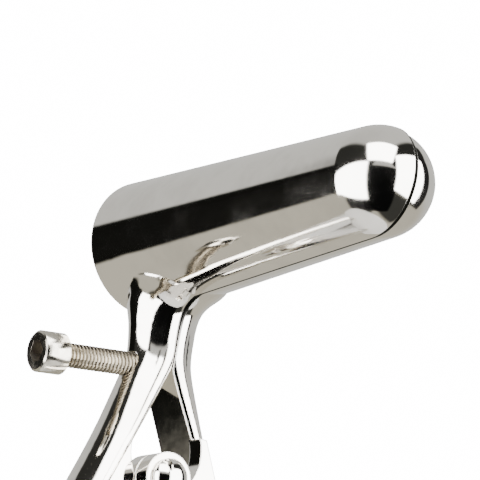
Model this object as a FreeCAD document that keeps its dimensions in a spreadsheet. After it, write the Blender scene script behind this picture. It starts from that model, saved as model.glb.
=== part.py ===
import FreeCAD, Part
import os
import re
import Sketcher

# Two-blade anal speculum, nickel-plated steel, blades shut.
# The origin is the centre of the blades' base opening. +X runs along the blades to the
# closed tip, -Y is the side of the spreader screw's head, and the handles hang down -Z.

os.makedirs("parts", exist_ok=True)
doc = FreeCAD.newDocument("anal_speculum")
Vector = FreeCAD.Vector

# Driving dimensions in millimetres. "Drop" is a distance below the blades' axis.
SIZES = [
    # Blades: two half shells that shut to a tapered tube with a round tip.
    ("blade_length", 103.5),
    ("tip_radius", 13.0),
    ("base_radius", 17.3),
    ("blade_wall", 1.5),
    ("blade_step", 0.5),
    ("seam_gap", 0.4),
    # Necks and handles: one flowing bar each, flat inside, domed outside.
    ("root_drop", 10.8),
    ("neck_front", 18.0),
    ("neck_back", -3.2),
    ("neck_thickness", 9.4),
    ("thin_drop", 43.0),
    ("thin_softness", 13.5),
    ("lean_drop", 43.0),
    ("lean_softness", 14.4),
    ("sweep_drop", 18.0),
    ("sweep_softness", 7.2),
    ("front_flare", 13.5),
    ("front_flare_drop", 13.5),
    ("front_flare_height", 2.5),
    ("side_flare", 3.6),
    ("side_flare_drop", 10.8),
    ("side_flare_height", 3.6),
    ("split_drop", 31.4),
    ("split_softness", 3.2),
    ("splay", 0.50),
    ("handle_front", 20.9),
    ("handle_back", 5.0),
    ("handle_thickness", 5.8),
    ("bow_drop", 95.4),
    ("bow_softness", 27.0),
    ("end_splay", 0.04),
    ("end_drop", 139.0),
    ("end_bulge", 5.4),
    ("edge_share", 0.48),
    ("edge_bulge", 0.8),
    # Pivot: two lugs, one before the other, on a rivet with a domed head.
    ("pivot_drop", 60.8),
    ("lug_thickness", 4.9),
    ("lug_gap", 0.3),
    ("lug_proud", 2.6),
    ("eye_radius", 6.3),
    ("web_top_drop", 49.5),
    ("web_bottom_drop", 75.6),
    ("web_hollow", 1.4),
    ("rivet_radius", 2.5),
    ("rivet_head_radius", 4.7),
    ("rivet_head_rim", 0.7),
    ("rivet_head_dome", 2.6),
    ("rivet_tail_radius", 3.6),
    ("rivet_tail_rim", 0.4),
    ("rivet_tail_dome", 1.0),
    ("washer_radius", 4.3),
    ("washer_thickness", 0.8),
    ("running_fit", 0.05),
    # Spreader screw: a socket-head screw through the left neck.
    ("screw_drop", 32.4),
    ("screw_tilt", 7.0),
    ("screw_radius", 3.0),
    ("screw_length", 27.5),
    ("screw_point", 0.7),
    ("screw_head_radius", 5.0),
    ("screw_head_length", 6.6),
    ("screw_head_edge", 0.6),
    ("socket_flats", 5.0),
    ("socket_depth", 3.0),
    ("screw_rest_gap", 0.3),
    # Return springs: two leaves, each on a seat in its handle.
    ("seat_top_drop", 122.4),
    ("seat_bottom_drop", 132.4),
    ("seat_depth", 0.2),
    ("seat_relief", 6.3),
    ("leaf_thickness", 0.9),
    ("leaf_width", 8.5),
    ("leaf_tip_drop", 87.3),
    ("leaf_bow", 3.2),
    ("leaf_screw_drop", 127.4),
    ("leaf_screw_radius", 1.5),
    ("leaf_screw_depth", 3.0),
    ("leaf_screw_head_radius", 2.7),
    ("leaf_screw_head", 1.5),
    ("leaf_screw_slot", 0.6),
]
names = [name for name, number in SIZES]
sheet = doc.addObject("Spreadsheet::Sheet", "Sizes")
for row, (name, number) in enumerate(SIZES, start=1):
    sheet.set(f"A{row}", name)
    sheet.set(f"B{row}", str(number))
    sheet.setAlias(f"B{row}", name)
doc.recompute()


def formula(text):
    """The text of a formula, with each size's name turned into its cell."""
    return re.sub(r"[a-z_]+", lambda word: f"Sizes.{word[0]}" if word[0] in names else word[0], text)


def amount(text):
    """The present value of a formula, in millimetres."""
    return float(sheet.evalExpression(formula(text)))


def bind(thing, prop, text):
    thing.setExpression(prop, formula(text))


def new_body(label):
    body = doc.addObject("PartDesign::Body", label)
    body.Label = label
    return body


def new_sketch(body, name, plane, offset="0"):
    """A sketch on one of the body's own planes, moved along the plane's normal."""
    role = next(item for item in body.Origin.OriginFeatures if item.Role == plane)
    sketch = body.newObject("Sketcher::SketchObject", name)
    sketch.AttachmentSupport = (role, [""])
    sketch.MapMode = "FlatFace"
    bind(sketch, "AttachmentOffset.Base.z", offset)
    return sketch


def hold_point(sketch, edge, end, across, up):
    """Ties one end of a sketch edge to formulas for its two coordinates."""
    for kind, text in (("DistanceX", across), ("DistanceY", up)):
        number = amount(text)
        index = sketch.addConstraint(Sketcher.Constraint(kind, -1, 1, edge, end, number))
        bind(sketch, f"Constraints[{index}]", text)


def hold_radius(sketch, edge, text):
    index = sketch.addConstraint(Sketcher.Constraint("Radius", edge, amount(text)))
    bind(sketch, f"Constraints[{index}]", text)


def chain(sketch, points, arcs=()):
    """A closed outline through points given as pairs of formulas.

    arcs maps the number of a side to its sagitta: the side is then an arc that
    swells to the left of its direction by that much.
    """
    arcs = dict(arcs)
    places = [Vector(amount(across), amount(up), 0) for across, up in points]
    count = len(points)
    for side in range(count):
        start = places[side]
        finish = places[(side + 1) % count]
        if side in arcs:
            swell = amount(arcs[side])
            chord = finish - start
            left = Vector(-chord.y, chord.x, 0).normalize()
            sketch.addGeometry(Part.Arc(start, (start + finish) / 2 + left * swell, finish))
        else:
            sketch.addGeometry(Part.LineSegment(start, finish))
    ends = []
    for side in range(count):
        start = places[side]
        begins = sketch.getPoint(side, 1).distanceToPoint(start) < 1e-6
        ends.append((1, 2) if begins else (2, 1))
    for side in range(count):
        following = (side + 1) % count
        join = Sketcher.Constraint("Coincident", side, ends[side][1], following, ends[following][0])
        sketch.addConstraint(join)
        hold_point(sketch, side, ends[side][0], *points[side])
    for side, swell in arcs.items():
        (ax, ay), (bx, by) = points[side], points[(side + 1) % count]
        half_square = f"(pow(({bx}) - ({ax}); 2) + pow(({by}) - ({ay}); 2)) / 4"
        if amount(swell) < 0:
            swell = f"-({swell})"
        hold_radius(sketch, side, f"({half_square} + pow({swell}; 2)) / (2 * ({swell}))")


def bar_section(body, name, side, drop, centre, depth, inner, thick):
    """One level section of a handle: flat inside, domed outside, round edges."""
    sketch = new_sketch(body, name, "XY_Plane", f"-({drop})")
    rear = f"({centre}) - ({depth}) / 2 + edge_bulge"
    front = f"({centre}) + ({depth}) / 2 - edge_bulge"
    inside = f"{side} * ({inner})"
    edge = f"{side} * (({inner}) + edge_share * ({thick}))"
    swell = f"(1 - edge_share) * ({thick})"
    points = [(rear, inside), (front, inside), (front, edge), (rear, edge)]
    chain(sketch, points, {1: f"{-side} * edge_bulge", 2: f"{-side} * {swell}", 3: f"{-side} * edge_bulge"})
    return sketch


def swept(body, kind, name, sketch, angle="360", backwards=False):
    """A revolution or groove of a sketch about its own horizontal axis."""
    turned = body.newObject(f"PartDesign::{kind}", name)
    turned.Profile = (sketch, [""])
    turned.ReferenceAxis = (sketch, ["H_Axis"])
    bind(turned, "Angle", angle)
    turned.Reversed = backwards
    return turned


def pushed(body, kind, name, sketch, length, backwards=False, both_ways=False):
    """A pad or pocket of a sketch."""
    block = body.newObject(f"PartDesign::{kind}", name)
    block.Profile = (sketch, [""])
    bind(block, "Length", length)
    block.Reversed = backwards
    block.Midplane = both_ways
    return block


def circle(sketch, radius, across="0", up="0"):
    """A full circle held at two formulas for its centre."""
    sketch.addGeometry(Part.Circle(Vector(amount(across), amount(up), 0), Vector(0, 0, 1), amount(radius)))
    hold_point(sketch, 0, 3, across, up)
    hold_radius(sketch, 0, radius)


def bullet(sketch, base, tip, lead=0):
    """Half outline of a tapered tube with a round tip, tangent where they meet.

    base and tip are its two radii. The tip's centre is the same for every shell, so
    the walls are even. lead carries the outline on, behind the base.
    """
    middle = "(blade_length - tip_radius)"
    slant = f"(acos({tip} / sqrt(pow({middle}; 2) + pow({base}; 2))) - atan({middle} / {base}))"
    shoulder = (f"{middle} + {tip} * sin({slant})", f"{tip} * cos({slant})")
    swell = f"{tip} * (1 - cos(45 deg - {slant} / 2))"
    points = [("0", base), shoulder, (f"{middle} + {tip}", "0"), (f"-{lead}", "0")]
    if lead:
        points.append((f"-{lead}", base))
    chain(sketch, points, {1: swell})


def ramp(drop, start, softness):
    """Rises by one for each millimetre below a drop, after a soft bend there."""
    below = f"(({drop}) - {start})"
    return f"({below} + sqrt(pow({below}; 2) + pow({softness}; 2))) / 2"


def shift(drop, middle, softness):
    """Runs smoothly from 0 above a drop to 1 below it."""
    below = f"(({drop}) - {middle})"
    return f"(1 + {below} / sqrt(pow({below}; 2) + pow({softness}; 2))) / 2"


def flare(drop, name):
    """A widening where the neck meets the blade, which dies away below."""
    return f"{name} / (1 + pow((({drop}) - {name}_drop) / {name}_height; 2))"


def flat_face(drop):
    """Distance of a handle's flat inner face from the middle plane at a drop."""
    spread = f"splay * {ramp(drop, 'split_drop', 'split_softness')}"
    return f"({spread} - (splay - end_splay) * {ramp(drop, 'bow_drop', 'bow_softness')})"


def thickness(drop):
    swell = f"(neck_thickness - handle_thickness) * (1 - {shift(drop, 'thin_drop', 'thin_softness')})"
    return f"(handle_thickness + {swell} + {flare(drop, 'side_flare')})"


def front(drop):
    lean = f"(handle_front - neck_front) * {shift(drop, 'lean_drop', 'lean_softness')}"
    return f"(neck_front + {lean} + {flare(drop, 'front_flare')})"


def back(drop):
    return f"(neck_back + (handle_back - neck_back) * {shift(drop, 'sweep_drop', 'sweep_softness')})"


STATIONS = 24
HANDLE_MIDDLE = f"({front('pivot_drop')} + {back('pivot_drop')}) / 2"
LUG_MIDDLE = f"({front('pivot_drop')} + lug_proud - lug_thickness - lug_gap / 2)"
SCREW_ACROSS = f"({front('screw_drop')} + {back('screw_drop')}) / 2"
POINT_RADIUS = "(screw_radius - screw_point)"
SCREW_POINT = f"(seam_gap / 2 - screw_rest_gap - {POINT_RADIUS} * sin(screw_tilt * 1 deg))"
SEAT = "(" + flat_face("seat_bottom_drop") + " + seat_depth)"


def handle_bar(body, label, side):
    """The bar from inside the blade to the handle's end, lofted through level sections
    that lie closer together near the blade, where the form changes most."""
    sections = []
    for number in range(STATIONS):
        drop = f"(root_drop + (end_drop - root_drop) * pow({number} / {STATIONS - 1}; 2))"
        centre = f"({front(drop)} + {back(drop)}) / 2"
        depth = f"{front(drop)} - {back(drop)}"
        name = f"{label}_section_{number + 1}"
        section = bar_section(body, name, side, drop, centre, depth, flat_face(drop), thickness(drop))
        sections.append(section)
    bar = body.newObject("PartDesign::AdditiveLoft", f"{label}_bar")
    bar.Profile = (sections[0], [""])
    bar.Sections = [(section, [""]) for section in sections[1:]]

    # The end is rounded off, seen from the side.
    waste = new_sketch(body, f"{label}_end_waste", "XZ_Plane")
    fore = f"({front('end_drop')} + 0.1)"
    aft = f"({back('end_drop')} - 0.1)"
    low = "-end_drop - 1"
    lift = "-end_drop + end_bulge"
    chain(waste, [(fore, low), (fore, lift), (aft, lift), (aft, low)], {1: "end_bulge"})
    pushed(body, "Pocket", f"{label}_end_cut", waste, "2 * end_drop", both_ways=True)


def blade(body, label, side, base, tip):
    """Half of the closed bullet, still solid, merged with the bar. Everything behind
    the blade's base is cut off, the inside is hollowed and the seam is opened."""
    behind = new_sketch(body, f"{label}_behind", "YZ_Plane")
    low = "-end_drop - 1"
    high = "base_radius + 1"
    chain(behind, [("-end_drop", low), ("end_drop", low), ("end_drop", high), ("-end_drop", high)])
    pushed(body, "Pocket", f"{label}_base_cut", behind, "base_radius")

    outside = new_sketch(body, f"{label}_blade_outside", "XZ_Plane")
    bullet(outside, base, tip)
    swept(body, "Revolution", f"{label}_blade_half", outside, "180", backwards=side > 0)

    inside = new_sketch(body, f"{label}_blade_inside", "XZ_Plane")
    bullet(inside, f"({base} - blade_wall)", f"({tip} - blade_wall)", lead=1)
    swept(body, "Groove", f"{label}_hollow", inside)

    seam = new_sketch(body, f"{label}_seam", "XZ_Plane", f"{-side} * seam_gap / 2")
    behind_base = "-base_radius"
    past_tip = "blade_length + 1"
    chain(seam, [(behind_base, low), (past_tip, low), (past_tip, high), (behind_base, high)])
    pushed(body, "Pocket", f"{label}_seam_cut", seam, "base_radius", backwards=side > 0)


def lug(body, label, side):
    """The lug that reaches in from the handle to the rivet: a web with two hollow
    edges and a round eye. The right lug lies in front of the left one."""
    face = "lug_gap / 2" if side > 0 else "-(lug_gap / 2 + lug_thickness)"
    plane = f"{LUG_MIDDLE} + {face}"
    bite = f"{side} * handle_thickness / 3"
    top = f"{side} * {flat_face('web_top_drop')}"
    bottom = f"{side} * {flat_face('web_bottom_drop')}"
    web = new_sketch(body, f"{label}_web_outline", "YZ_Plane", plane)
    points = [
        (top, "-web_top_drop"),
        (f"{side} * eye_radius * 0.98", "-pivot_drop"),
        (f"{side} * eye_radius * 0.5", "-pivot_drop - 0.85 * eye_radius"),
        (bottom, "-web_bottom_drop"),
        (f"{bottom} + {bite}", "-web_bottom_drop"),
        (f"{top} + {bite}", "-web_top_drop"),
    ]
    chain(web, points, {0: f"{side} * web_hollow", 2: f"{side} * web_hollow"})
    pushed(body, "Pad", f"{label}_web", web, "lug_thickness")
    eye = new_sketch(body, f"{label}_eye_outline", "YZ_Plane", plane)
    circle(eye, "eye_radius", "0", "-pivot_drop")
    pushed(body, "Pad", f"{label}_eye", eye, "lug_thickness")
    bore = new_sketch(body, f"{label}_bore_outline", "YZ_Plane")
    circle(bore, "rivet_radius + running_fit", "0", "-pivot_drop")
    pushed(body, "Pocket", f"{label}_bore", bore, "4 * handle_front", both_ways=True)


def leaf_seat(body, label, side):
    """A shallow flat seat for the leaf spring, with a blind hole for its screw."""
    seat = new_sketch(body, f"{label}_seat_outline", "XZ_Plane", f"{-side} * {SEAT}")
    fore = f"{HANDLE_MIDDLE} + leaf_width / 2 + running_fit"
    aft = f"{HANDLE_MIDDLE} - leaf_width / 2 - running_fit"
    low = "-seat_bottom_drop - running_fit"
    high = "-seat_top_drop + seat_relief"
    chain(seat, [(aft, low), (fore, low), (fore, high), (aft, high)])
    pushed(body, "Pocket", f"{label}_seat", seat, "6 * leaf_thickness", backwards=side > 0)
    hole = new_sketch(body, f"{label}_leaf_hole_outline", "XZ_Plane", f"{-side} * {SEAT}")
    circle(hole, "leaf_screw_radius + running_fit", HANDLE_MIDDLE, "-leaf_screw_drop")
    pushed(body, "Pocket", f"{label}_leaf_hole", hole, "leaf_screw_depth + 0.3", backwards=side < 0)


def make_lever(label, side, shrink):
    """One blade with its neck, handle and pivot lug, polished as a single piece.

    side is -1 for the left lever and 1 for the right. shrink is how much smaller
    the blade's radii are than the driving ones.
    """
    body = new_body(label)
    handle_bar(body, label, side)
    blade(body, label, side, f"(base_radius - {shrink})", f"(tip_radius - {shrink})")
    lug(body, label, side)
    leaf_seat(body, label, side)
    return body


def tap_for_screw(body):
    """The spreader screw's hole through the left neck, a little off level."""
    hole = new_sketch(body, "screw_hole_outline", "XZ_Plane")
    hole.AttachmentOffset = FreeCAD.Placement(Vector(), FreeCAD.Rotation(Vector(1, 0, 0), amount("screw_tilt")))
    bind(hole, "AttachmentOffset.Rotation.Angle", "screw_tilt * 1 deg")
    bind(hole, "AttachmentOffset.Base.x", SCREW_ACROSS)
    bind(hole, "AttachmentOffset.Base.y", "-screw_drop")
    circle(hole, "screw_radius + running_fit")
    pushed(body, "Pocket", "screw_hole", hole, "6 * neck_thickness", both_ways=True)


def dome_swell(radius, height):
    """Sagitta of the half profile of a round dome of one radius and height."""
    ball = f"((pow({radius}; 2) + pow({height}; 2)) / (2 * ({height})))"
    return f"({ball} - sqrt(pow({ball}; 2) - (pow({radius}; 2) + pow({height}; 2)) / 4))"


def make_rivet():
    """The pivot: a domed head in front, a shank through both lugs, a peened tail."""
    body = new_body("pivot_rivet")
    grip = "(2 * lug_thickness + 2 * lug_gap + washer_thickness)"
    profile = new_sketch(body, "rivet_profile", "XZ_Plane")
    points = [
        ("rivet_head_rim + rivet_head_dome", "0"),
        ("rivet_head_rim", "rivet_head_radius"),
        ("0", "rivet_head_radius"),
        ("0", "rivet_radius"),
        (f"-{grip}", "rivet_radius"),
        (f"-{grip}", "rivet_tail_radius"),
        (f"-{grip} - rivet_tail_rim", "rivet_tail_radius"),
        (f"-{grip} - rivet_tail_rim - rivet_tail_dome", "0"),
    ]
    head = dome_swell("rivet_head_radius", "rivet_head_dome")
    tail = dome_swell("rivet_tail_radius", "rivet_tail_dome")
    chain(profile, points, {0: f"-{head}", 6: f"-{tail}"})
    swept(body, "Revolution", "rivet_turned", profile)
    bind(body, "Placement.Base.x", f"{LUG_MIDDLE} + 3 / 2 * lug_gap + lug_thickness")
    bind(body, "Placement.Base.z", "-pivot_drop")
    return body


def make_washer():
    """The washer between the back lug and the rivet's peened tail."""
    body = new_body("pivot_washer")
    profile = new_sketch(body, "washer_profile", "XZ_Plane")
    bore = "rivet_radius + running_fit"
    outer = [("washer_thickness", "washer_radius"), ("0", "washer_radius")]
    points = [("0", bore), ("washer_thickness", bore)] + outer
    chain(profile, points)
    swept(body, "Revolution", "washer_turned", profile)
    bind(body, "Placement.Base.x", f"{LUG_MIDDLE} - lug_gap / 2 - lug_thickness - washer_thickness")
    bind(body, "Placement.Base.z", "-pivot_drop")
    return body


def make_spreader_screw():
    """The socket-head screw that pushes the right neck away. Its thread is drawn plain.
    It lies along its own X, with the underside of the head at zero."""
    body = new_body("spreader_screw")
    profile = new_sketch(body, "screw_profile", "XZ_Plane")
    points = [
        ("-screw_head_length", "0"),
        ("-screw_head_length", "screw_head_radius - screw_head_edge"),
        ("-screw_head_length + screw_head_edge", "screw_head_radius"),
        ("0", "screw_head_radius"),
        ("0", "screw_radius"),
        ("screw_length - screw_point", "screw_radius"),
        ("screw_length", "screw_radius - screw_point"),
        ("screw_length", "0"),
    ]
    chain(profile, points)
    swept(body, "Revolution", "screw_turned", profile)
    socket = new_sketch(body, "socket_outline", "YZ_Plane", "-screw_head_length")
    corners = []
    for turn in range(6):
        reach = "socket_flats / sqrt(3)"
        corners.append((f"{reach} * cos({60 * turn} deg)", f"{reach} * sin({60 * turn} deg)"))
    chain(socket, corners)
    pushed(body, "Pocket", "socket", socket, "socket_depth", backwards=True)
    turn = FreeCAD.Rotation(Vector(1, 0, 0), amount("screw_tilt")) * FreeCAD.Rotation(Vector(0, 0, 1), 90)
    body.Placement = FreeCAD.Placement(Vector(), turn)
    run = f"({SCREW_POINT} - screw_length)"
    bind(body, "Placement.Base.x", SCREW_ACROSS)
    bind(body, "Placement.Base.y", f"{run} * cos(screw_tilt * 1 deg)")
    bind(body, "Placement.Base.z", f"-screw_drop + {run} * sin(screw_tilt * 1 deg)")
    return body


def make_leaf(label, side):
    """A leaf spring: flat on its seat, then bowed in and up to meet the other leaf."""
    body = new_body(label)
    outline = new_sketch(body, f"{label}_outline", "YZ_Plane", HANDLE_MIDDLE)
    near = f"{side} * ({SEAT} - leaf_thickness)"
    tip = f"{side} * seam_gap / 2"
    points = [
        (f"{side} * {SEAT}", "-seat_bottom_drop"),
        (f"{side} * {SEAT}", "-seat_top_drop"),
        (tip, "-leaf_tip_drop"),
        (tip, "-leaf_tip_drop - 1.2 * leaf_thickness"),
        (near, "-seat_top_drop"),
        (near, "-seat_bottom_drop"),
    ]
    chain(outline, points, {1: f"{-side} * leaf_bow", 3: f"{side} * leaf_bow"})
    pushed(body, "Pad", f"{label}_strip", outline, "leaf_width", both_ways=True)
    hole = new_sketch(body, f"{label}_hole_outline", "XZ_Plane", f"{-side} * {SEAT}")
    circle(hole, "leaf_screw_radius + running_fit", HANDLE_MIDDLE, "-leaf_screw_drop")
    pushed(body, "Pocket", f"{label}_hole", hole, "4 * leaf_thickness", both_ways=True)
    return body


def make_leaf_screw(label, side):
    """The slotted screw that holds a leaf on its seat. It lies along its own X, with
    the underside of the head at zero, and turns outwards."""
    body = new_body(label)
    profile = new_sketch(body, f"{label}_profile", "XZ_Plane")
    points = [
        ("-leaf_screw_head", "0"),
        ("-leaf_screw_head", "0.8 * leaf_screw_head_radius"),
        ("-0.4 * leaf_screw_head", "leaf_screw_head_radius"),
        ("0", "leaf_screw_head_radius"),
        ("0", "leaf_screw_radius"),
        ("leaf_thickness + leaf_screw_depth", "leaf_screw_radius"),
        ("leaf_thickness + leaf_screw_depth", "0"),
    ]
    chain(profile, points)
    swept(body, "Revolution", f"{label}_turned", profile)
    slot = new_sketch(body, f"{label}_slot_outline", "YZ_Plane", "-leaf_screw_head")
    half = "leaf_screw_slot / 2"
    far = "2 * leaf_screw_head_radius"
    chain(slot, [(f"-{far}", f"-{half}"), (far, f"-{half}"), (far, half), (f"-{far}", half)])
    pushed(body, "Pocket", f"{label}_slot", slot, "leaf_screw_head / 2", backwards=True)
    body.Placement = FreeCAD.Placement(Vector(), FreeCAD.Rotation(Vector(0, 0, 1), 90 * side))
    bind(body, "Placement.Base.x", HANDLE_MIDDLE)
    bind(body, "Placement.Base.y", f"{side} * ({SEAT} - leaf_thickness)")
    bind(body, "Placement.Base.z", "-leaf_screw_drop")
    return body


left_lever = make_lever("left_lever", -1, "0")
tap_for_screw(left_lever)
parts = [
    left_lever,
    make_lever("right_lever", 1, "blade_step"),
    make_rivet(),
    make_washer(),
    make_spreader_screw(),
    make_leaf("left_leaf_spring", -1),
    make_leaf("right_leaf_spring", 1),
    make_leaf_screw("left_leaf_screw", -1),
    make_leaf_screw("right_leaf_screw", 1),
]
doc.recompute()

# Every feature must have worked, and every sub-part must be one sound solid.
for item in doc.Objects:
    if "Invalid" in item.State or "Error" in item.State:
        raise RuntimeError(f"{item.Label} failed")
for body in parts:
    shape = body.Shape
    if shape.isNull() or not shape.isValid() or len(shape.Solids) != 1:
        raise RuntimeError(f"{body.Label} is not one sound solid")
for body in parts:
    body.Shape.exportStep(f"parts/{body.Label}.step")
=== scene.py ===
import math

import bmesh
import bpy
from mathutils import Matrix, Vector


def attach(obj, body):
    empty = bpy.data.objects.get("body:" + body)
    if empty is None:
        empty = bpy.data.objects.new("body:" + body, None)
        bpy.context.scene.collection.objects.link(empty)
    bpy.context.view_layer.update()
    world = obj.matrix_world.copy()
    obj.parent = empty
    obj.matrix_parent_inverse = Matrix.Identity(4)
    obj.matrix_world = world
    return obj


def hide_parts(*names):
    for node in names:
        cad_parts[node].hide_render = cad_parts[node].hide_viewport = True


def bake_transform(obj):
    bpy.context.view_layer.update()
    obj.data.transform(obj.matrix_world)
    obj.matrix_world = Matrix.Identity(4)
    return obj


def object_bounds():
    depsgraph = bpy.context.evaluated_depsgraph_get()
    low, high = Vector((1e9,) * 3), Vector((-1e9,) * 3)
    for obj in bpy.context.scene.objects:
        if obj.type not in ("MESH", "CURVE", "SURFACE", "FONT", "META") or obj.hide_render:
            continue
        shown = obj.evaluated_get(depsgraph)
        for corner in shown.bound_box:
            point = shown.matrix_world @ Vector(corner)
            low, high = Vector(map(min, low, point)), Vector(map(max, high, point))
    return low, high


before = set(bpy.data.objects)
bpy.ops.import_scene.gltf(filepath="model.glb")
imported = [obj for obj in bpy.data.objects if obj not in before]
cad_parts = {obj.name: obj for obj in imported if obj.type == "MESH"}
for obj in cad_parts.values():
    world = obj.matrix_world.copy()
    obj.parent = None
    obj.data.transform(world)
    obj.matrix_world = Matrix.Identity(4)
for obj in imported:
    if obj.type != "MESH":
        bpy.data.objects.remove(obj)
cad_box = [list(corner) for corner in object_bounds()]

# Levers
# Each is a half-tube blade, neck, handle and pivot lug in one piece of steel, buffed and
# nickel plated to a mirror, with faint polishing swirls and a few dull smudges.

PLATE_CLEAN = (0.83, 0.80, 0.75, 1)
PLATE_SMUDGED = (0.74, 0.71, 0.66, 1)
PLATE_ROUGHNESS = 0.035
SMUDGE_ROUGHNESS = 0.05
SMUDGE_SCALE = 70
SWIRL_SCALE = 900
RIPPLE_SCALE = 260
RIPPLE_STRENGTH = 0.03
RIPPLE_HEIGHT = 0.0004
EDGE_ROUND = 0.0006
SEAM_HALF = 0.0006
SEAM_SOFT = 0.00012
# Colour of the joint between the blades: painted shade in the gap, with some grime.
SEAM_SHADE_AND_GRIME = (0.004, 0.004, 0.003, 1)
SEAM_ENDS_AT = (0.018, 0.034)


class Wire:
    """The output of a shader node, which can be used in sums."""

    def __init__(self, paint, socket):
        self.paint = paint
        self.socket = socket

    def __add__(self, other):
        return self.paint.maths("ADD", self, other)

    def __sub__(self, other):
        return self.paint.maths("SUBTRACT", self, other)

    def __rsub__(self, other):
        return self.paint.maths("SUBTRACT", other, self)

    def __mul__(self, other):
        return self.paint.maths("MULTIPLY", self, other)

    def __truediv__(self, other):
        return self.paint.maths("DIVIDE", self, other)

    __radd__ = __add__
    __rmul__ = __mul__


class Paint:
    """A node tree being filled, for a finish or for the studio's light."""

    def __init__(self, tree):
        self.tree = tree
        tree.nodes.clear()

    def node(self, kind, settings=(), inputs=(), output=0):
        """Adds one node: its settings first, then what its sockets hold."""
        made = self.tree.nodes.new("ShaderNode" + kind)
        for key, value in dict(settings).items():
            setattr(made, key, value)
        for key, value in dict(inputs).items():
            if isinstance(value, Wire):
                self.tree.links.new(value.socket, made.inputs[key])
            else:
                made.inputs[key].default_value = value
        return Wire(self, made.outputs[output]) if made.outputs else None

    def maths(self, operation, *values):
        return self.node("Math", {"operation": operation}, dict(enumerate(values)))

    def vector(self, operation, *values):
        return self.node("VectorMath", {"operation": operation}, dict(enumerate(values)))

    def along(self, place, direction):
        """How far a place lies along a direction, as one number."""
        sockets = {0: place, 1: tuple(direction)}
        return self.node("VectorMath", {"operation": "DOT_PRODUCT"}, sockets, "Value")

    def blend(self, share, first, second):
        """Mixes two colours."""
        return self.node("Mix", {"data_type": "RGBA"}, {0: share, 6: first, 7: second}, 2)

    def noise(self, place, scale, detail, roughness=0.5):
        sockets = {"Vector": place, "Scale": scale, "Detail": detail, "Roughness": roughness}
        return self.node("TexNoise", (), sockets)

    def step(self, value, low, high):
        """Rises smoothly from 0 at low to 1 at high."""
        settings = {"interpolation_type": "SMOOTHSTEP"}
        return self.node("MapRange", settings, {0: value, 1: low, 2: high})

    def surface(self, sockets):
        """Ends a finish with one principled shader."""
        shader = self.node("BsdfPrincipled", (), sockets)
        self.node("OutputMaterial", (), {"Surface": shader})


def new_finish(name):
    material = bpy.data.materials.new(name)
    material.use_nodes = True
    return material, Paint(material.node_tree)


def plated_steel(name):
    """Mirror plate with a slight ripple. Polishing has rounded the edges, and above the
    necks the joint between the blades is painted dark, as painted shade in the gap and some grime."""
    material, paint = new_finish(name)
    place = paint.node("TexCoord", output="Object")
    smudge = paint.step(paint.noise(place, SMUDGE_SCALE, 3, 0.6), 0.42, 0.72)
    swirl = paint.noise(paint.vector("MULTIPLY", place, (0.25, 1, 1)), SWIRL_SCALE, 2)
    ripple = paint.noise(place, RIPPLE_SCALE, 1)
    below = paint.step(paint.along(place, (0, 0, -1)), *SEAM_ENDS_AT)
    off_middle = paint.maths("ABSOLUTE", paint.along(place, (0, 1, 0)))
    seam = (1 - paint.step(off_middle, SEAM_HALF, SEAM_HALF + SEAM_SOFT)) * (1 - below)
    relief = {
        "Strength": RIPPLE_STRENGTH,
        "Distance": RIPPLE_HEIGHT,
        "Height": ripple + swirl * 0.05,
        "Normal": paint.node("Bevel", {"samples": 6}, {"Radius": EDGE_ROUND}),
    }
    steel = paint.blend(smudge, PLATE_CLEAN, PLATE_SMUDGED)
    paint.surface({
        # The joint between the blades is painted dark here: painted shade in the gap, partly
        # grime.
        "Base Color": paint.blend(seam, steel, SEAM_SHADE_AND_GRIME),
        "Metallic": 1.0,
        "Roughness": PLATE_ROUGHNESS + smudge * SMUDGE_ROUGHNESS + swirl * 0.03 + seam * 0.55,
        "Normal": paint.node("Bump", (), relief),
    })
    return material


def cover(node, material):
    """Gives a solid of the frame its finish."""
    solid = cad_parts[node]
    solid.data.materials.clear()
    solid.data.materials.append(material)


nickel = plated_steel("nickel_plate")
cover("left_lever", nickel)
cover("right_lever", nickel)

# Pivot
# A plated rivet with a domed head holds the two lugs together. A washer lies under its
# peened tail at the back.

cover("pivot_rivet", nickel)
cover("pivot_washer", nickel)

# Spreader screw
# An M6 socket-head cap screw, turned from bar and thread-rolled, then nickel plated. Its
# thread is a fine helix, duller in the roots, and the socket is painted dark as shade.

SCREW_SEAT = Vector((0.011694, -0.027672, -0.035798))
SCREW_LEAN = math.radians(7)
SCREW_ALONG = Vector((0, math.cos(SCREW_LEAN), math.sin(SCREW_LEAN)))
HEAD_LENGTH = 0.0066
HEAD_CUT = 0.00002
SOCKET_REACH = 0.0029
HAIR = 0.0001
THREAD_LENGTH = 0.0275
THREAD_PITCH = 0.001
THREAD_CREST = 0.00298
THREAD_ROOT = 0.0025
THREAD_STEPS = 30
POINT_LENGTH = 0.0016
POINT_INSET = 0.0002
SOFT_EDGE = 0.0002
SHINY, SOCKET_SHADE, ROLLED = range(3)
RING_SCALE = 9000
SOCKET_RING_SCALE = 5000


def new_piece(name, shape, *materials):
    """Turns a finished bmesh into an object with its materials."""
    bmesh.ops.recalc_face_normals(shape, faces=shape.faces)
    data = bpy.data.meshes.new(name)
    shape.to_mesh(data)
    shape.free()
    piece = bpy.data.objects.new(name, data)
    bpy.context.scene.collection.objects.link(piece)
    for material in materials:
        data.materials.append(material)
    return piece


def copy_of(node):
    """A merged copy of a solid's mesh, to work on."""
    shape = bmesh.new()
    shape.from_mesh(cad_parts[node].data)
    bmesh.ops.remove_doubles(shape, verts=shape.verts, dist=1e-6)
    bmesh.ops.dissolve_limit(shape, angle_limit=0.002, verts=shape.verts, edges=shape.edges)
    return shape


def slice_at(shape, point, normal, keep_far=True):
    """Cuts a shape by a plane. The far side goes unless it is kept."""
    everything = shape.verts[:] + shape.edges[:] + shape.faces[:]
    bmesh.ops.bisect_plane(
        shape, geom=everything, plane_co=point, plane_no=normal, clear_outer=not keep_far
    )


def close_up(shape):
    bmesh.ops.holes_fill(shape, edges=[edge for edge in shape.edges if edge.is_boundary])


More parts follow.
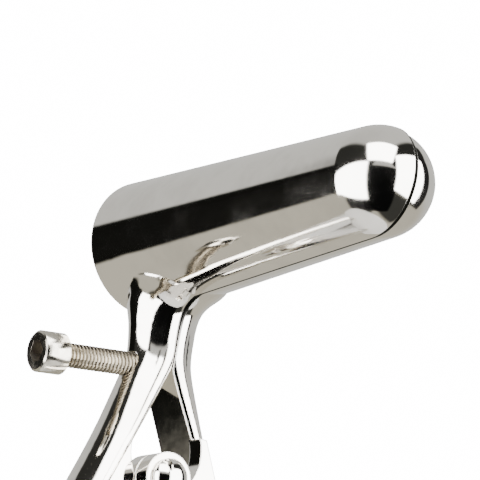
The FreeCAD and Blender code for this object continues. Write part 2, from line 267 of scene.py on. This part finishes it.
def socket_head():
    """The head alone, cut from the solid just past its underside, with its socket painted dark as
    shade.
    """
    head = copy_of("spreader_screw")
    slice_at(head, SCREW_SEAT + SCREW_ALONG * HEAD_CUT, SCREW_ALONG, keep_far=False)
    close_up(head)
    for face in head.faces:
        middle = face.calc_center_median() - SCREW_SEAT
        depth = middle.dot(SCREW_ALONG)
        near_axis = (middle - SCREW_ALONG * depth).length < SOCKET_REACH
        outer_half = depth < -HAIR - HEAD_LENGTH / 2
        off_the_top = abs(depth + HEAD_LENGTH) > HAIR
        # Faces inside the socket get the dark finish, which is painted shade in the recess.
        face.material_index = SOCKET_SHADE if near_axis and outer_half and off_the_top else SHINY
    return head


def rolled_thread():
    """One tooth's profile spun up the screw's axis, with a short cone for the point."""
    thread = bmesh.new()
    crest, root = THREAD_CREST, THREAD_ROOT
    tooth = [(0, crest), (0.12, crest), (0.44, root), (0.68, root), (1, crest)]
    row = [thread.verts.new((out, 0, along * THREAD_PITCH)) for along, out in tooth]
    ridge = [thread.edges.new(pair) for pair in zip(row, row[1:])]
    turns = int(THREAD_LENGTH / THREAD_PITCH) - 1
    bmesh.ops.spin(
        thread,
        geom=row + ridge,
        axis=(0, 0, 1),
        angle=2 * math.pi * turns,
        steps=THREAD_STEPS * turns,
        dvec=(0, 0, THREAD_PITCH / THREAD_STEPS),
    )
    bmesh.ops.remove_doubles(thread, verts=thread.verts, dist=2e-6)
    close_up(thread)
    point = bmesh.ops.create_cone(
        thread,
        cap_ends=True,
        segments=48,
        radius1=crest - POINT_INSET,
        radius2=root - POINT_INSET,
        depth=POINT_LENGTH,
    )
    to_end = (0, 0, THREAD_LENGTH - POINT_LENGTH / 2)
    bmesh.ops.translate(thread, verts=point["verts"], vec=to_end)
    to_seat = Matrix.Translation(SCREW_SEAT) @ Matrix.Rotation(SCREW_LEAN - math.pi / 2, 4, "X")
    bmesh.ops.transform(thread, matrix=to_seat, verts=thread.verts)
    for face in thread.faces:
        face.material_index = ROLLED
    return thread


def turned_steel(name, bright, dark, least, spread, axis, scale):
    """Bright turned or rolled steel: fine rings along its axis, and a film of oil and
    wear that darkens it in patches. Least and spread are its roughness."""
    material, paint = new_finish(name)
    place = paint.node("TexCoord", output="Object")
    rings = paint.along(place, axis) * scale
    line = paint.noise(paint.node("CombineXYZ", (), {"X": rings}), 1, 2, 0.7)
    film = paint.step(paint.noise(place, 330, 3, 0.65), 0.35, 0.75)
    relief = {"Strength": 0.12, "Distance": 0.0001, "Height": line}
    paint.surface({
        "Base Color": paint.blend(film * 0.8, (*bright, 1), (*dark, 1)),
        "Metallic": 1.0,
        "Roughness": least + film * spread + line * 0.06,
        "Normal": paint.node("Bump", (), relief),
    })
    return material


screw = socket_head()
thread = rolled_thread()
helix = bpy.data.meshes.new("thread")
thread.to_mesh(helix)
thread.free()
screw.from_mesh(helix)
screw_piece = new_piece(
    "threaded_spreader_screw",
    screw,
    turned_steel(
        "bright_screw", (0.60, 0.57, 0.50), (0.30, 0.27, 0.22), 0.09, 0.16, SCREW_ALONG, RING_SCALE
    ),
    # The socket's dark colour is painted shade in its recess.
    turned_steel(
        "socket_painted_shade", (0.20, 0.18, 0.15), (0.05, 0.045, 0.04), 0.30, 0.25, SCREW_ALONG,
        SOCKET_RING_SCALE,
    ),
    turned_steel(
        "rolled_thread", (0.26, 0.23, 0.18), (0.11, 0.095, 0.07), 0.22, 0.16, SCREW_ALONG,
        RING_SCALE,
    ),
)
soft_edges = screw_piece.modifiers.new("soft_edges", "BEVEL")
soft_edges.width = SOFT_EDGE
soft_edges.segments = 2
soft_edges.angle_limit = math.radians(50)
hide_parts("spreader_screw")
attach(screw_piece, "spreader")

# Leaf springs
# Two strips of spring steel, each held on its handle by a slotted screw. Their tips meet
# between the handles and push them apart. Each strip is cut into thin slices along its length.

LEAF_FOOT = -0.1224
LEAF_TIP = -0.0873
LEAF_SLICES = 28


def strip_steel(name):
    """Satin plated spring steel with long grinding lines."""
    material, paint = new_finish(name)
    place = paint.node("TexCoord", output="Object")
    lines = paint.noise(paint.vector("MULTIPLY", place, (2600, 2600, 60)), 1, 3, 0.6)
    stain = paint.step(paint.noise(place, 90, 3, 0.6), 0.40, 0.75)
    relief = {"Strength": 0.10, "Distance": 0.0001, "Height": lines}
    paint.surface({
        "Base Color": paint.blend(stain, (0.66, 0.65, 0.63, 1), (0.50, 0.48, 0.45, 1)),
        "Metallic": 1.0,
        "Roughness": 0.20 + lines * 0.12 + stain * 0.08,
        "Normal": paint.node("Bump", (), relief),
    })
    return material


satin = strip_steel("spring_strip")
for side, other in (("left", "right"), ("right", "left")):
    strip = copy_of(side + "_leaf_spring")
    for slice_number in range(1, LEAF_SLICES):
        height = LEAF_FOOT + (LEAF_TIP - LEAF_FOOT) * slice_number / LEAF_SLICES
        slice_at(strip, (0, 0, height), (0, 0, 1))
    leaf = new_piece("bent_" + side + "_leaf", strip, satin)
    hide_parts(side + "_leaf_spring")
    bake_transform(leaf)
    slotted = turned_steel(
        side + "_slotted_screw", (0.70, 0.68, 0.63), (0.44, 0.41, 0.36), 0.12, 0.14, (0, 1, 0),
        RING_SCALE,
    )
    cover(side + "_leaf_screw", slotted)

# Floor
# A plain pale round table top under the handles' ends.

FLOOR_RADIUS = 0.09
FLOOR_MIDDLE = 0.02
FLOOR_GAP = 0.0005

disc = bmesh.new()
bmesh.ops.create_circle(disc, cap_ends=True, segments=128, radius=FLOOR_RADIUS)
under_handles = (FLOOR_MIDDLE, 0, cad_box[0][2] - FLOOR_GAP)
bmesh.ops.translate(disc, verts=disc.verts, vec=under_handles)
floor_data = bpy.data.meshes.new("floor")
disc.to_mesh(floor_data)
disc.free()
floor = bpy.data.objects.new("floor", floor_data)
bpy.context.scene.collection.objects.link(floor)
pale, paint = new_finish("pale_table")
mottle = paint.noise(paint.node("TexCoord", output="Object"), 40, 2)
pale_colour = paint.blend(mottle, (0.60, 0.60, 0.59, 1), (0.64, 0.64, 0.63, 1))
paint.surface({"Base Color": pale_colour, "Roughness": 0.6})
floor.data.materials.append(pale)

# Studio
# A grey tent with three white soft boxes round the camera, and dark gaps between them that
# show in the polish as bands. What the camera sees behind the object is plain white.

BOX = (13.0, 13.0, 13.0)
BACKDROP = (16.0, 16.0, 16.0, 1)
TENT_ON_MATT = (0.40, 0.40, 0.40, 1)
TENT_LOW = (0.70, 0.67, 0.57, 1)
TENT_HIGH = (0.82, 0.82, 0.79, 1)
TENT_RISE = (-0.35, 0.1)
EDGE_ON = (0.01, 0.03)

# Each panel has its bearing and height in degrees, its limits across and upward, the
# softness of its edges and its colour. Those further down hang nearer to the object.
PANELS = {
    "gap over the left box":
        (-98, 40, (-0.78, 0.95), (-0.55, 0.30), 0.09, (0.035, 0.035, 0.032)),
    "gap overhead":
        (35, 52, (-1.10, 0.80), (-0.55, 0.26), 0.07, (0.03, 0.03, 0.028)),
    "gap under the left box":
        (-100, -52, (-0.35, 0.80), (-0.50, 0.30), 0.08, (0.03, 0.03, 0.03)),
    "gap under the right box":
        (20, -48, (-0.90, 0.55), (-0.60, 0.36), 0.10, (0.05, 0.05, 0.045)),
    "gap beside the left box":
        (-139, 1, (-0.60, 0.20), (-0.34, 0.36), 0.035, (0.008, 0.008, 0.007)),
    "gap beside the right box":
        (25, 8, (0.50, 1.50), (-0.85, 1.00), 0.06, (0.02, 0.02, 0.02)),
    "gap round the camera":
        (-35, -20, (-0.62, 0.62), (-1.40, 0.74), 0.05, (0.004, 0.004, 0.004)),
    "left box": (-60, -12, (-2.5, -0.06), (-0.76, 0.70), 0.04, BOX),
    "top box": (-40, 45, (-0.42, 0.42), (-0.33, 0.42), 0.04, BOX),
    "right box": (25, 8, (-0.58, 0.74), (-0.70, 0.74), 0.04, BOX),
}


def heading(turn, tilt):
    """A unit vector from a bearing and a height in degrees."""
    turn, tilt = math.radians(turn), math.radians(tilt)
    level = math.cos(tilt)
    return Vector((level * math.cos(turn), level * math.sin(turn), math.sin(tilt)))


def panel(behind, turn, tilt, across, upward, soft, colour):
    """Hangs a flat panel in front of what is behind it. It faces the object from a bearing
    and height, and across and upward are its limits at a distance of one."""
    facing = heading(turn, tilt)
    level = heading(turn + 90, 0)
    near = paint.along(ray, facing)
    ahead = paint.maths("MAXIMUM", near, EDGE_ON[0])
    x = paint.along(ray, level) / ahead
    y = paint.along(ray, facing.cross(level)) / ahead
    mask = paint.step(near, *EDGE_ON)
    for value, (low, high) in ((x, across), (y, upward)):
        mask = mask * paint.step(value, low - soft, low + soft)
        mask = mask * (1 - paint.step(value, high - soft, high + soft))
    return paint.blend(mask, behind, (*colour, 1))


world = bpy.data.worlds.new("studio")
bpy.context.scene.world = world
world.use_nodes = True
paint = Paint(world.node_tree)
ray = paint.node("TexCoord", output="Generated")
sky = paint.blend(paint.step(paint.along(ray, (0, 0, 1)), *TENT_RISE), TENT_LOW, TENT_HIGH)
for hung in PANELS.values():
    sky = panel(sky, *hung)
on_matt = paint.node("LightPath", output="Is Diffuse Ray")
seen = paint.node("LightPath", output="Is Camera Ray")
shade = paint.blend(seen, paint.blend(on_matt, sky, TENT_ON_MATT), BACKDROP)
light = paint.node("Background", (), {"Color": shade, "Strength": 1.0})
paint.node("OutputWorld", (), {"Surface": light})

# Camera
# It looks up at the blades from in front of the tip and to the left, from near by.

PICTURE_WIDTH = 480
FOCUS = 2200
CAMERA_PLACE = (0.4527, -0.28278, -0.15606)
CAMERA_RIGHT = Vector((0.5912, 0.7970, 0.1234))
CAMERA_UP = Vector((0.1645, -0.2689, 0.9490))
CAMERA_BACK = Vector((0.7895, -0.5408, -0.2901))

eye = bpy.data.cameras.new("camera")
eye.sensor_width = 36
eye.lens = FOCUS / PICTURE_WIDTH * eye.sensor_width
eye.clip_start = 0.01
camera = bpy.data.objects.new("camera", eye)
turned = Matrix((CAMERA_RIGHT, CAMERA_UP, CAMERA_BACK)).transposed().to_4x4()
camera.matrix_world = Matrix.Translation(CAMERA_PLACE) @ turned
bpy.context.scene.collection.objects.link(camera)
bpy.context.scene.camera = camera
